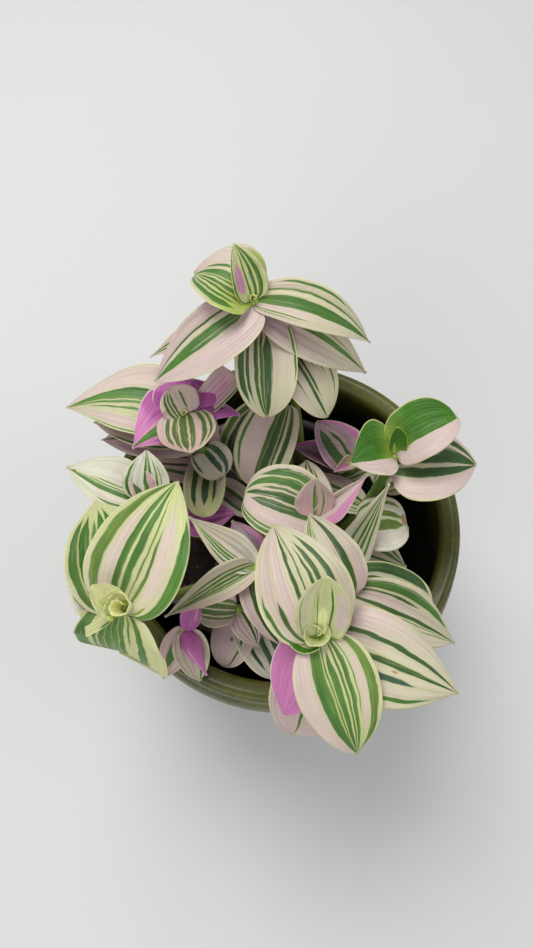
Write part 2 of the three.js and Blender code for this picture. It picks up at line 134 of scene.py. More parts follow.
# Colours of the plant, as linear red, green and blue
TINTS = {
    "cream": (0.62, 0.57, 0.41),
    "butter": (0.60, 0.63, 0.29),
    "fresh": (0.88, 0.91, 0.42),
    "white": (0.70, 0.71, 0.56),
    "blush": (0.63, 0.49, 0.455),
    "rose": (0.60, 0.37, 0.37),
    "mauve": (0.33, 0.21, 0.27),
    # Painted shade: the near black of leaves that lie in shade low in the pot
    "dusk": (0.13, 0.09, 0.09),
    "dark": (0.034, 0.086, 0.022),
    "blue": (0.038, 0.088, 0.055),
    "green": (0.068, 0.175, 0.028),
    "olive": (0.125, 0.210, 0.035),
    "moss": (0.080, 0.130, 0.032),
    "leaf": (0.038, 0.150, 0.003),
    "lime": (0.400, 0.540, 0.060),
    "purple": (0.44, 0.10, 0.34),
    "pink": (0.60, 0.20, 0.43),
    "plum": (0.18, 0.04, 0.16),
    "brown": (0.24, 0.10, 0.04),
    "rust": (0.38, 0.17, 0.05),
    "bruise": (0.06, 0.015, 0.06),
}

# Tints with chlorophyll make crisp wide bands. SOFTNESS is the blur of a band's edge, by tint.
GREENS = {"dark", "blue", "green", "olive", "moss", "leaf"}
SOFTNESS = {"brown": 0.03, "rust": 0.03, "bruise": 0.02} | {tint: 0.018 for tint in GREENS}
PLAIN_SOFTNESS = 0.10
PLAIN_STRENGTH = 0.8
GREEN_GAIN = 1.2  # how much wider a green band is drawn than its table says

WANDER = 0.12  # how far a band's edge wanders across the leaf
FRAY = 0.035
DRIFT = 37.0  # how far the leaves are spread out in the noise
FINE_VEINS = 58.0  # radians that the waves of fine veins run through over half a leaf
RIBS = 19.0  # the same for the ribs

# Looks of tender leaves, which let more light through
YOUNG = {"curl", "curl_green", "bud", "sheath"}
YOUNG_DEPTH = 0.4
OLD_DEPTH = 0.12

# Studio, in metres. A light gives its place, diameter, power and colour.
LIGHTS = {
    "key": ((-0.30, 0.55, 1.35), 0.9, 14, (1.0, 0.99, 0.97)),
    "side": ((1.1, -0.2, 0.9), 0.8, 2.5, (0.95, 0.97, 1.0)),
    "front": ((-0.5, -1.1, 0.9), 1.0, 6.0, (1.0, 0.98, 0.96)),
}
LIGHT_TARGET = Vector((0, 0, 0.15))
SKY_COLOUR = (0.93, 0.95, 1.0)
SKY_STRENGTH = 0.42
FLOOR_REACH = 6.0
FLOOR_TONES = ((0.64, 0.64, 0.63), (0.68, 0.68, 0.67))

# Camera
CAMERA_PLACE = (-0.00738, -0.10264, 0.44509)
CAMERA_TILT = 21.5  # degrees from looking straight down
CAMERA_LENS = 27.34
CAMERA_SENSOR = 36
CAMERA_NEAR = 0.01

# Markings of the leaves. The first words are the ground tint, or those near its base and its tip.
# A band gives its place across (-100 right margin, 100 left margin, seen from the base), half width
# and tint. Two numbers more say where along the leaf it starts and ends, and one says where it ends.
# They are hundredths of the half width and of the length, and TIP is past the end of the leaf.
BASE, TIP = -900, 900
TOP_LOOKS = {
    "a1": ("lime", "cream", [
        (-62, 40, "blush", 25, TIP), (-10, 9, "green"), (7, 2.5, "leaf", 90), (22, 5, "green"),
        (38, 3.5, "leaf", 95), (55, 4, "green", 10, TIP), (76, 8, "green", 10, TIP), (-35, 4, "green", 90)]),
    "a1b": ("butter", [
        (45, 30, "pink", 12, 75), (0, 5, "green"), (-30, 7, "green"), (-62, 10, "green"), (92, 6, "green")]),
    "a2": ("blush", [(-18, 12, "cream", 10, TIP), (-40, 4, "dark"), (4, 16, "green", 3, TIP)]),
    "a3": ("blush", "cream", [
        (45, 16, "cream", 0, TIP), (20, 16, "green"), (60, 3, "green"), (88, 3.5, "green", 10, 80),
        (-52, 4, "green", 50), (-70, 3, "green", 45)]),
    "a4": ("blush", "cream", [(22, 10, "green", 15, TIP), (50, 2, "green", 40, 90)]),
    "a5": ("blush", "cream", [
        (-80, 8, "dark", 90), (-60, 4.5, "dark", 5, 90), (-31, 6, "dark", 10, TIP),
        (-14, 5, "dark", 10, TIP), (6, 11, "dark", 15, TIP), (42, 2.5, "dark", 35), (93, 3, "green", 70)]),
    "a6": ("blush", "cream", [
        (-4, 6, "dark"), (12, 3.5, "dark", 85), (38, 3, "dark", 60), (60, 3.5, "green", 70),
        (80, 3, "green", 90), (-42, 3, "dark", 30, 80)]),
    "b1": ("blush", "rose", [
        (-66, 6, "moss", 90), (-40, 8, "moss", 97), (-12, 11, "moss", 102), (18, 8, "moss", 100),
        (60, 7, "moss", 98), (84, 5, "moss", 95)]),
    "b2": ("blush", [
        (30, 5, "moss", 90), (48, 5, "moss", 95), (70, 6, "moss", 98), (-25, 5, "moss", 10, 85)]),
    "b4": ("butter", "cream", [
        (-78, 28, "blush"), (-40, 10, "green"), (-22, 3, "green"), (-8, 2.5, "green", 90),
        (16, 2, "green", 50), (48, 25, "blush", 20, 90), (92, 3, "green", 80)]),
    "b5": ("blush", "cream", [(-20, 13, "green"), (15, 3, "green", 60), (90, 4, "green", 80)]),
    "b5b": ("blush", [(0, 13, "dark"), (-40, 3, "green", 60)]),
    "b6": ("blush", [
        (10, 13, "pink", 95), (-24, 9, "pink", 85), (40, 8, "pink", 10, 95), (-50, 6, "pink", 80),
        (70, 5, "pink", 90), (-90, 7, "leaf")]),
    # b8: its dark middle is painted shade
    "b8": ("white", "cream", [(0, 42, "dusk", 92), (30, 10, "moss", 90), (-30, 10, "dark", 90)]),
    "i1": ("white", "cream", [(5, 13, "blue", 97), (52, 12, "blue"), (-80, 5, "blue", 70)]),
    "i2": ("cream", "butter", [(-50, 10, "dark", 90), (0, 13, "dark", 85), (42, 7, "dark", 80)]),
    "c1": ("white", [
        (0, 2, "green", 5, 75), (13, 2.5, "green"), (30, 9, "green"), (78, 5, "green", 55),
        (10, 10, "brown", 86, 93), (-30, 2, "brown", 18, 22), (6, 24, "rust", 86, 94)]),
    "c2": ("white", [
        (82, 5, "green", 90), (6, 6, "green"), (-14, 5, "green"), (-45, 3, "green", 90),
        (-62, 2, "green", 80), (-25, 2, "brown", 50, 54), (32, 3, "brown", 16, 21)]),
    "c3": ("rose", "blush", [(15, 45, "moss", 85), (-70, 25, "rose")]),
    "d1": ("cream", "butter", [
        (45, 14, "blush", 15, 80), (-50, 22, "blush", 10, 80), (76, 9, "olive"), (28, 6.5, "green"),
        (6, 7, "green"), (-14, 2, "olive", 95), (-28, 3, "olive", 70), (-89, 11, "green", 80),
        (-62, 4, "leaf", 12)]),
    "d2": ("cream", "butter", [
        (80, 8, "green", 90), (52, 12, "leaf", 90), (22, 9, "green", 85), (-5, 14, "leaf", 95),
        (-38, 10, "leaf", 10, 95)]),
    "d3": ("butter", [
        (-86, 16, "green"), (-50, 4, "green"), (-32, 7, "green"), (-14, 7, "green"), (2, 6, "green"),
        (16, 5, "green"), (32, 2, "green", 60), (55, 7, "green"), (20, 60, "brown", 98.5, TIP)]),
    "d4": ("fresh", [(0, 130, "lime", 22), (30, 8, "lime", 70)]),
    "d7": ("butter", [(86, 10, "leaf", 60)]),
    "curl": ("fresh", [(80, 30, "butter"), (0, 130, "lime", 20)]),
    "curl_green": ("lime", "butter", [(0, 130, "lime", 35), (80, 25, "blush", 30, TIP)]),
    "bud": ("lime", [(0, 30, "fresh", 50, TIP)]),
    "sheath": ("blush", "lime", [(0, 130, "leaf", 55, TIP)]),
    "d5": ("white", [(-10, 30, "green", 96), (55, 10, "green", 90), (10, 50, "bruise", 88, 97)]),
    "e1": ("cream", [
        (60, 35, "blush"), (-66, 5, "dark", 90), (-42, 5, "dark", 85), (-27, 3, "dark", 80),
        (-8, 2, "dark"), (10, 4, "dark"), (60, 5, "dark", 42), (88, 4, "green", 50)]),
    "e2": ("butter", [
        (2, 20, "fresh", 60), (-68, 26, "blush", 15, 90), (74, 18, "cream", 15, 85),
        (-30, 3.5, "leaf", 95), (22, 1.5, "green", 85), (84, 2, "green", 80), (0, 130, "leaf", 10)]),
    "e4": ("cream", "butter", [
        (-74, 30, "blush"), (58, 12, "blush", 10, 85), (-34, 13, "green"), (-13, 2, "green"),
        (0, 6.5, "green", 5, TIP), (17, 3, "green"), (30, 5, "green"), (44, 1.5, "green", 70),
        (80, 9, "olive")]),
    "e5": ("blush", "cream", [
        (0, 28, "cream"), (42, 5, "dark"), (7, 1.5, "dark"), (1, 4.5, "dark"), (-30, 5.5, "blue", 5, 74),
        (-76, 4.5, "green", 90), (-12, 4.5, "rust", 49, 56)]),
    "e7": ("white", "blush", [(10, 5, "green")]),
    "p8": ("blush", "cream", [(-38, 10, "dark"), (42, 2, "green"), (58, 4.5, "green"), (74, 3, "green")]),
    "p6": ("blush", "cream", [
        (74, 12, "green", 90), (48, 4, "dark", 60), (2, 6, "dark"), (-12, 2, "green", 30, TIP),
        (-30, 3, "green", 55, TIP)]),
    "p6b": ("white", "cream", [
        (84, 13, "dark", 95), (52, 4, "dark"), (34, 6, "dark"), (0, 6, "green"), (-35, 5, "green", 80)]),
    "h1": ("white", "cream", [(-8, 9, "green"), (18, 5, "green"), (50, 6, "green"), (-50, 9, "green", 90)]),
    "h2": ("white", [
        (2, 16, "olive", 97), (42, 8, "olive", 97), (26, 2, "olive", 40), (80, 5, "olive", 90),
        (42, 38, "rust", 84, TIP), (-30, 2, "brown", 55, 60)]),
    "h3": ("cream", [(20, 10, "green"), (55, 7, "green"), (-30, 6, "green")]),
    "f1": ("blush", [(3, 5, "cream"), (55, 50, "leaf")]),
    "f2": ("blush", [(2, 4, "cream"), (-52, 52, "leaf")]),
    "f3": ("cream", "blush", [
        (-68, 30, "blush"), (74, 9, "dark"), (24, 22, "dark"), (-26, 11, "dark"),
        (46, 1.5, "cream", 20, 80)]),
    "f6": ("cream", "blush", [
        (-34, 9, "dark"), (10, 8, "dark"), (-10, 3, "green", 90), (45, 6, "green"), (75, 4, "green", 90)]),
    "f4": ("leaf", [(0, 130, "leaf"), (25, 15, "lime", 50)]),
    "g1": ("blush", [
        (12, 11, "dark", 95), (-16, 8, "dark"), (-34, 3, "dark", 85), (-54, 9, "green"),
        (-78, 8, "green", 90), (76, 3, "green", 30, TIP), (90, 5, "green", 30, TIP)]),
    "g2": ("rose", "blush", [
        (0, 7, "olive", 92), (-14, 3, "olive", 60), (-45, 4, "olive", 75), (50, 20, "rose", 70)]),
    "g3": ("blush", [(-80, 35, "pink"), (40, 5, "green", 70)]),
    "g4": ("cream", [(-30, 7, "dark"), (-52, 4, "dark", 90), (8, 8, "dark"), (40, 5, "dark", 80)]),
    "j1": ("cream", [
        (-45, 35, "blush"), (-2, 6, "dark"), (19, 11, "dark"), (40, 4, "dark"), (64, 8, "dark", 95),
        (-82, 4, "green", 90)]),
    "j2": ("cream", [(-88, 6, "green", 90), (-60, 13, "dark"), (-32, 4, "green"), (35, 9, "dark")]),
    "n1": ("mauve", [(35, 22, "dark", 90), (-20, 6, "dark", 80), (-85, 14, "pink"), (92, 6, "pink")]),
    # n2: painted shade at its base and along its middle
    "n2": ("dusk", "mauve", [
        (85, 20, "purple"), (-80, 20, "purple"), (50, 6, "cream", 90), (0, 10, "dusk", 90)]),
    "n3": ("butter", "rose", [(0, 35, "pink", 20, TIP), (60, 8, "olive", 90)]),
    "k1": ("white", "cream", [
        (22, 3, "green"), (38, 6, "green"), (55, 4, "green", 90), (75, 4, "green", 70)]),
    "k2": ("cream", [
        (-50, 4, "green"), (-30, 5, "green"), (-8, 5, "green"), (12, 7, "green"), (28, 3, "green"),
        (90, 10, "rose")]),
    "k3": ("blush", [(-36, 17, "dark"), (20, 3, "dark", 70)]),
    "l3": ("blush", "rose", [(-15, 25, "green", 85), (55, 20, "cream", 90)]),
    "l4": ("blush", "cream", [(42, 12, "green"), (-50, 3, "green", 40)]),
    "m1": ("blush", "cream", [(-35, 8, "moss"), (-8, 10, "moss"), (22, 10, "moss"), (50, 6, "moss", 90)]),
    "m3": ("blush", [(18, 9, "dark"), (45, 5, "dark"), (85, 15, "purple")]),
    "m5": ("blush", [(42, 5, "dark"), (-5, 9, "bruise", 48, 58)]),
    "m6": ("cream", "white", [(0, 10, "blue"), (45, 10, "blue", 90), (-50, 7, "blue", 90)]),
    # k4: painted shade towards its base
    "k4": ("dusk", "mauve", [(30, 10, "dark", 90), (85, 25, "purple"), (-80, 15, "pink", 90)]),
    "plain1": ("blush", "cream", [(35, 10, "green"), (-10, 6, "dark"), (-50, 5, "green", 80)]),
    "plain2": ("cream", "blush", [
        (10, 12, "dark"), (50, 5, "green", 85), (-35, 9, "green"), (-70, 5, "green", 70)]),
    "plain3": ("blush", [(-25, 13, "green"), (30, 4, "dark", 70), (60, 7, "green")]),
}

UNDER_LOOKS = {
    "under": ("purple", "pink", [(35, 12, "plum"), (-20, 8, "plum")]),
    "b3": ("purple", "pink", [(0, 17, "leaf"), (45, 5, "plum", 70), (-55, 8, "plum", 80)]),
    "b3r": ("purple", [(10, 8, "plum"), (40, 6, "plum"), (-30, 5, "plum", 90)]),
    "e3": ("pink", [(-55, 30, "purple", 80)]),
    "l2": ("purple", "pink", [(50, 8, "cream", 30, TIP)]),
}

# The shoots. root is the foot of the stem on the soil, bow the point that pulls its curve and crown
# its growing tip. A leaf gives: place along the stem, heading, rise, length, width, arch, roll, fold,
# cup and the look of its upper side, then the form, skew and look of its underside where they are not
# the usual ones.
SHOOTS = {
    "shoot_back": dict(root=(10, 40), bow=(6, 66, 160), crown=(-13, 67, 204), leaves=[
        (0.99, 150, -4, 28, 32, 0.24, 0, 5, 25, "a1", "broad"),
        (1, 118, 50, 23, 17, 0.05, 0, 20, 20, "a1b", "broad"),
        (0.98, -149, -23, 52, 29, 0.1, -5, 8, 20, "a2", "broad", 0.3),
        (0.98, -14, -13, 50, 20, 0.17, 14, 10, 20, "a3", "ovate", 0.25),
        (0.93, -21, -24, 53, 22, 0.12, 20, 10, 15, "a4"),
        (0.87, -88, -26, 41, 27, 0.16, 0, 10, 20, "a5", "blunt"),
        (0.8, -54, -22, 45, 25, 0.14, 0, 10, 15, "a6", "blunt"),
        (0.85, -169, -15, 52, 16, 0.1, 0, 10, 15, "plain2"),
        (0.6, 40, -4, 36, 22, 0.1, 0, 10, 15, "plain3"),
        (0.42, 112, 2, 32, 20, 0.1, 0, 10, 15, "plain1"),
        (0.68, 152, -4, 34, 20, 0.1, 0, 10, 15, "plain2"),
    ]),
    "shoot_back_low": dict(root=(4, 20), bow=(3, 36, 135), crown=(0, 45, 158), leaves=[
        (0.98, -113, -28, 40, 28, 0.12, 0, 10, 20, "j1", "blunt"),
        (0.85, -128, -25, 36, 27, 0.05, 0, 5, 8, "j2", "round", -0.5),
    ]),
    "shoot_left_back": dict(root=(-28, 10), bow=(-34, 24, 145), crown=(-42, 33, 170), leaves=[
        (1, -80, 17, 22, 25, 0, 0, 5, 15, "b1", "round"),
        (1, 122, 50, 14, 18, -0.05, 0, 5, 20, "b2", "disc"),
        (0.93, -147, 8, 27, 30, -0.1, 180, 8, -12, "plain3", "wedge", 0.4, "b3"),
        (0.96, 84, 18, 17, 31, -0.1, 180, 8, -12, "plain1", "round", 0, "b3r"),
        (0.97, -2, 9, 23, 14, -0.1, 172, 15, 10, "plain2", "broad", -0.5, "b3r"),
        (0.83, 168, -3, 58, 36, 0.1, 8, 10, 15, "b4", "ovate", -0.28),
        (0.8, 169, -10, 48, 27, 0.08, 0, 10, 15, "b5"),
        (0.7, 174, -10, 46, 24, 0.08, 0, 10, 15, "b5b"),
        (0.9, 40, 24, 29, 16, 0, 0, 15, 30, "b6", "fan"),
        (0.62, -50, -6, 15.5, 18, 0.15, 0, 5, 10, "i1", "disc"),
        (0.48, -93, -4, 25, 22, 0.1, 0, 5, 50, "i2", "disc"),
        (0.25, -40, 4, 23, 18, 0.05, 0, 15, 40, "b8", "round"),
        (0.55, 112, 4, 34, 22, 0.1, 0, 8, 15, "plain3"),
        (0.4, 175, 3, 32, 18, 0.1, 0, 8, 15, "plain1"),
    ]),
    "shoot_left": dict(root=(-38, -2), bow=(-50, -2, 140), crown=(-57, -2, 161), leaves=[
        (0.96, 158, 1, 39, 24, 0.08, 0, 10, 15, "c1"),
        (1, 91, 25, 20.5, 21, 0.05, 0, 10, 20, "c2", "broad"),
        (1, 112, 24, 12, 13, 0.05, 0, 15, 30, "c3", "disc"),
        (0.8, -160, -4, 36, 22, 0.1, 0, 10, 15, "plain2"),
        (0.42, 6, 6, 26, 18, -0.05, 180, 12, 10, "plain3", "broad"),
    ]),
    "shoot_left_front": dict(root=(-36, -26), bow=(-56, -44, 150), crown=(-61, -53, 186), leaves=[
        (0.99, 66, 11, 51, 38, 0.1, 0, 8, 12, "d1", "broad", -0.05),
        (0.93, 108, 0, 44, 33, 0.1, 0, 10, 15, "d2", "broad"),
        (0.99, -102, -57, 22.5, 39, 0.16, 8, 4, 8, "d3", "fan", 0.18),
        (1, 140, 50, 15, 15, 0, 0, 10, 60, "d4", "disc"),
        (0.9, 157, -16, 27, 20, 0.1, 0, 10, 15, "d5"),
        (1, -160, -24, 15, 11, 0, 0, 10, 30, "d7", "fan"),
        (0.62, 176, -8, 30, 20, 0.1, 0, 10, 15, "plain1"),
    ]),
    "shoot_front": dict(root=(4, -28), bow=(15, -50, 150), crown=(11.5, -64, 191), leaves=[
        (0.99, 112, 1, 44, 35, 0.1, 0, 8, 15, "e1", "broad"),
        (1, 88, 58, 30, 20, 0, 0, 8, 20, "e2", "blunt"),
        (0.95, -117, -34, 35, 25, -0.08, 180, 10, -15, "plain2", "broad", 0, "e3"),
        (1, -70, -28, 45, 30, 0.13, 4, 6, 10, "e4", "broad"),
        (0.92, -22, -7, 53, 33, 0.12, 10, 4, -12, "e5", "broad"),
        (0.8, -104, -38, 47, 27, 0.1, 0, 8, 15, "e7", "blunt"),
        (0.6, -60, -16, 36, 22, 0.1, 0, 8, 15, "plain3"),
    ]),
    "shoot_front_right": dict(root=(22, -20), bow=(26, -36, 145), crown=(24, -46, 176), leaves=[
        (1, 115, 2, 35, 22, 0.1, 0, 10, 15, "p8", "broad"),
        (0.97, -20, -20, 48, 24, 0.1, 0, 8, 15, "p6"),
        (0.7, -14, -8, 36, 29, 0.1, 0, 8, 15, "p6b", "round"),
        (0.55, 64, 41, 50, 18, 0, 0, 25, 10, "h1", "lance", 0.3),
        (0.45, -35, -6, 36, 22, 0.1, 0, 8, 15, "plain1"),
    ]),
    "shoot_right": dict(root=(30, 2), bow=(40, 2, 150), crown=(45, 12, 177), leaves=[
        (1, 24, 23, 28, 25, 0.1, 0, 5, 15, "f1", "round", 0.2),
        (0.97, -166, 9, 19, 26, 0.05, 0, 12, 12, "f2", "ovate", -0.25),
        (0.88, 1, -4, 36, 36, 0.1, 0, 8, 15, "f3", "broad", -0.1),
        (1, 98, 60, 13, 9.5, 0, 0, 10, 45, "f4", "round"),
        (0.62, 40, 2, 36, 24, 0.1, 0, 8, 15, "plain2"),
        (0.36, 152, -7, 36, 17, 0.04, 0, 10, 15, "f6", "broad"),
    ]),
    "shoot_centre": dict(root=(8, 2), bow=(12, -8, 140), crown=(12, -12, 168), leaves=[
        (0.98, 160, 0, 30, 33, 0.1, 0, 8, 15, "g1", "round"),
        (1, 92, 56, 19, 16.5, -0.1, 0, 5, 10, "g2", "broad"),
        (0.98, 34, 22, 27, 15, 0, 10, 35, 20, "g3", "lance", -0.45),
        (0.62, 92, 0, 30, 22, 0.1, 0, 8, 15, "g4", "broad"),
        (0.6, -170, 0, 21, 15, 0.1, 0, 8, 15, "plain3"),
        (0.34, 174, 4, 26, 17, 0.05, 180, 12, 10, "plain1", "broad"),
    ]),
    "shoot_right_low": dict(root=(26, -10), bow=(29, -16, 135), crown=(31, -13, 155), leaves=[
        (1, 3, 0, 21, 25, 0.1, 0, 8, 15, "h2", "round"),
        (0.6, -25, 0, 27, 18, 0.1, 0, 8, 15, "h3"),
    ]),
    "shoot_centre_front": dict(root=(-4, -20), bow=(-10, -28, 135), crown=(-12, -30, 158), leaves=[
        (0.98, 143, 1, 35, 17, 0, -15, 20, 10, "k1", "lance"),
        (0.98, -152, -7, 42, 18, 0.02, -15, 35, 10, "k2", "lance", -0.15),
        (0.88, -72, -18, 33, 22, 0.1, 0, 10, 10, "k3", "broad"),
        (0.6, 120, 4, 26, 17, 0.1, 0, 10, 10, "k4"),
        (0.34, 40, 4, 18, 13, 0.05, 180, 12, 10, "plain2", "broad"),
    ]),
    "shoot_front_left_low": dict(root=(-34, -36), bow=(-38, -46, 130), crown=(-41, -54, 145), leaves=[
        (1, 66, 28, 17, 9.5, -0.08, 180, 15, 10, "plain3", "ovate", 0, "l2"),
        (1, -62, -8, 20, 9, -0.1, 190, 20, 10, "plain1", "lance", 0, "l2"),
        (0.9, -118, -24, 24, 14, 0.05, 0, 10, 10, "l3"),
        (0.96, -74, -28, 23, 16, 0.05, 0, 10, 20, "l4", "broad"),
    ]),
    "shoot_front_low": dict(root=(-14, -36), bow=(-18, -42, 125), crown=(-20, -44, 140), leaves=[
        (1, 176, 4, 20, 22, -0.1, 0, 15, 35, "m1", "disc"),
        (0.9, -60, -14, 18, 14, 0.1, 0, 10, 15, "m3"),
        (0.55, -108, -8, 26, 20, 0.05, 0, 10, 15, "m5", "round"),
        (0.4, -64, 4, 34, 23, 0.05, 0, 10, 15, "m6", "round"),
    ]),
    "shoot_right_back_low": dict(root=(22, 22), bow=(28, 22, 125), crown=(32, 20, 146), leaves=[
        (0.9, 128, 10, 26, 24, 0.1, 0, 20, 15, "n1", "broad"),
        (0.84, 160, 8, 29, 19, 0, 0, 40, 15, "n2"),
        (1, -150, 21, 12, 12, 0, 0, 30, 50, "n3"),
        (0.6, 35, 4, 34, 20, 0.1, 0, 10, 15, "plain2"),
    ]),
}


def vec(*values):
    return np.array(values, dtype=float)


def unit(v):
    return v / np.linalg.norm(v)


class Look:
    """A material being made, with short calls for the nodes that every one of them uses."""

    def __init__(self, name):
        self.material = bpy.data.materials.new(name)
        self.material.use_nodes = True
        self.tree = self.material.node_tree
        self.shader = self.tree.nodes["Principled BSDF"]

    def put(self, socket, value):
        if isinstance(value, bpy.types.NodeSocket):
            self.tree.links.new(value, socket)
        elif socket.type == "RGBA" and len(value) == 3:
            socket.default_value = (*value, 1)
        else:
            socket.default_value = value

    def node(self, kind, inputs=(), **settings):
        node = self.tree.nodes.new(kind)
        for key, value in settings.items():
            setattr(node, key, value)
        for key, value in dict(inputs).items():
            self.put(node.inputs[key], value)
        return node

    def math(self, operation, a, b=0.0):
        return self.node("ShaderNodeMath", {0: a, 1: b}, operation=operation).outputs[0]

    def plus(self, a, b):
        return self.math("ADD", a, b)

    def minus(self, a, b):
        return self.math("SUBTRACT", a, b)

    def times(self, a, b):
        return self.math("MULTIPLY", a, b)

    def step(self, value, low, high):
        """0 where value is at low, 1 where it is at high, and smooth between them."""
        inputs = {"Value": value, "From Min": low, "From Max": high}
        return self.node("ShaderNodeMapRange", inputs, interpolation_type="SMOOTHSTEP").outputs[0]

    def mix(self, factor, a, b, blend="MIX"):
        node = self.node("ShaderNodeMix", data_type="RGBA", blend_type=blend)
        self.put(node.inputs[0], factor)
        self.put(node.inputs[6], a)
        self.put(node.inputs[7], b)
        return node.outputs[2]

    def lay(self, colour, value, low, high, strength, other, blend="MIX"):
        """The colour, with the other laid over it at that strength where value passes low to high."""
        return self.mix(self.times(self.step(value, low, high), strength), colour, other, blend)

    def noise(self, vector, scale, detail=2.0, roughness=0.5):
        inputs = {"Vector": vector, "Scale": scale, "Detail": detail, "Roughness": roughness}
        return self.node("ShaderNodeTexNoise", inputs).outputs[0]

    def join(self, x, y, z):
        return self.node("ShaderNodeCombineXYZ", {0: x, 1: y, 2: z}).outputs[0]

    def split(self, vector):
        return self.node("ShaderNodeSeparateXYZ", {0: vector}).outputs

    def place(self):
        return self.node("ShaderNodeTexCoord").outputs["Object"]

    def blade(self):
        """The blade coordinates: across -1 to 1, along 0 to 1, and a chance number of the leaf."""
        return self.split(self.node("ShaderNodeAttribute", attribute_name="blade").outputs["Vector"])

    def bump(self, height, strength, distance):
        inputs = {"Height": height, "Strength": strength, "Distance": distance}
        return self.node("ShaderNodeBump", inputs).outputs[0]

    def finish(self, colour, roughness, normal=None, **constants):
        self.put(self.shader.inputs["Base Color"], colour)
        self.put(self.shader.inputs["Roughness"], roughness)
        if normal is not None:
            self.put(self.shader.inputs["Normal"], normal)
        for name, value in constants.items():
            self.shader.inputs[name.replace("_", " ")].default_value = value
        return self.material


def leaf_look(name, ground, bands, under=False, depth=OLD_DEPTH):
    """One leaf's surface: ground colours, bands along its veins, pale margin and fine veins."""
    look = Look(name)
    across, along, chance = look.blade()
    drift = look.times(chance, DRIFT)

    def veined(wide, long, *settings):
        """Noise drawn out along the veins."""
        return look.noise(look.join(look.times(across, wide), look.times(along, long), drift), *settings)

    # Edges of the bands wander a little, and thin streaks and lines run along the veins.
    wander = veined(2.2, 3.0, 1.6, 2.0)
    fray = veined(34.0, 2.6, 1.0, 3.0, 0.6)
    streak = veined(22.0, 1.2, 1.0, 3.0, 0.65)
    cloud = veined(1.4, 2.2, 1.5, 2.0)
    lines = veined(75.0, 1.6, 1.0, 2.0, 0.6)
    cell_grain_and_glint = look.noise(look.place(), 2600.0, 1.0)
    moved = look.plus(across, look.times(look.minus(wander, 0.5), WANDER))
    moved = look.plus(moved, look.times(look.minus(fray, 0.5), FRAY))

    near, far = TINTS[ground[0]], TINTS[ground[-1]]
    colour = look.mix(look.step(look.plus(along, look.times(cloud, 0.5)), 0.25, 1.05), near, far)
    if not under:
        colour = look.lay(colour, cloud, 0.42, 0.72, 0.40, TINTS["blush"])
    colour = look.lay(colour, streak, 0.42, 0.78, 0.26, TINTS["plum" if under else "mauve"])
    colour = look.lay(colour, lines, 0.35, 0.70, 0.17, TINTS["plum" if under else "olive"])

    for centre, half, tint, *ends in bands:
        centre, half = centre / 100, half / 100
        start, end = band_ends(ends)
        distance = look.math("ABSOLUTE", look.minus(moved, centre))
        width = half * GREEN_GAIN if tint in GREENS else half
        span = min(end, 1) - max(start, 0)
        if start > -1:
            width = look.times(look.step(along, start, start + min(0.18, 0.5 * span)), width)
        if end < 2:
            width = look.times(look.step(along, end, end - min(0.22, 0.5 * span)), width)
        blur = SOFTNESS.get(tint, PLAIN_SOFTNESS)
        mask = look.step(distance, look.plus(width, blur * 0.7), look.minus(width, blur))
        if start > -1 or end < 2:
            mask = look.times(mask, look.step(width, 0.0, 0.3 * half))
        lit = TINTS[tint]
        if tint in GREENS:
            # A faint green cast beside the band, then the band with its own light and dark lines
            colour = look.lay(colour, distance, look.plus(width, 0.16), width, 0.16, TINTS["lime"])
            lit = look.lay(lit, along, 0.42, 0.0, 0.65, TINTS["lime" if tint == "leaf" else "olive"])
            lighter = tuple(1.9 * value + more for value, more in zip(TINTS[tint], (0.022, 0.032, 0.006)))
            lit = look.lay(lit, lines, 0.46, 0.66, 0.50, lighter)
            lit = look.lay(lit, cloud, 0.62, 0.35, 0.35, TINTS["dark"])
            lit = look.lay(lit, cell_grain_and_glint, 0.48, 0.72, 0.30, TINTS["dark"])
            if tint != "leaf":
                sliver = look.times(look.step(streak, 0.63, 0.69), 0.55)
                mask = look.times(mask, look.minus(1.0, sliver))
        else:
            mask = look.times(mask, PLAIN_STRENGTH)
        colour = look.mix(mask, colour, lit)

    # The pale margin and tip, and the skin's cells: real grain, with pale dots of painted glint
    margin = look.step(look.math("ABSOLUTE", across), 0.955, 0.985)
    edge = look.math("MAXIMUM", margin, look.step(along, 0.965, 0.99))
    rim = "white" if under else "lime" if ground[0] == "leaf" else "butter"
    colour = look.mix(look.times(edge, 0.75), colour, TINTS[rim])
    # Painted glint: pale sparkle of the skin's cells laid into the colour
    colour = look.lay(colour, cell_grain_and_glint, 0.4, 0.8, 0.25, (0.9, 0.9, 0.85), "SOFT_LIGHT")

    veins = look.math("SINE", look.times(across, FINE_VEINS))
    ribs = look.math("SINE", look.times(moved, RIBS))
    height = look.plus(look.times(veins, 0.25), look.times(fray, 1.1))
    height = look.plus(height, look.times(ribs, 0.8))
    height = look.plus(height, look.times(cell_grain_and_glint, 0.35))
    rough = look.plus(0.30, look.times(cell_grain_and_glint, 0.18))
    return look.finish(
        colour, rough, look.bump(height, 0.45, 0.0003),
        Subsurface_Weight=depth, Subsurface_Radius=(0.004, 0.003, 0.002), Subsurface_Scale=0.3,
        Sheen_Weight=0.02, IOR=1.42, Specular_IOR_Level=0.42,
    )


def band_ends(given):
    """Where a band starts and ends: off both ends of the leaf, or from its base, where less is given."""
    start, end = given if len(given) == 2 else (BASE, *given, TIP)[:2]
    return start / 100, end / 100


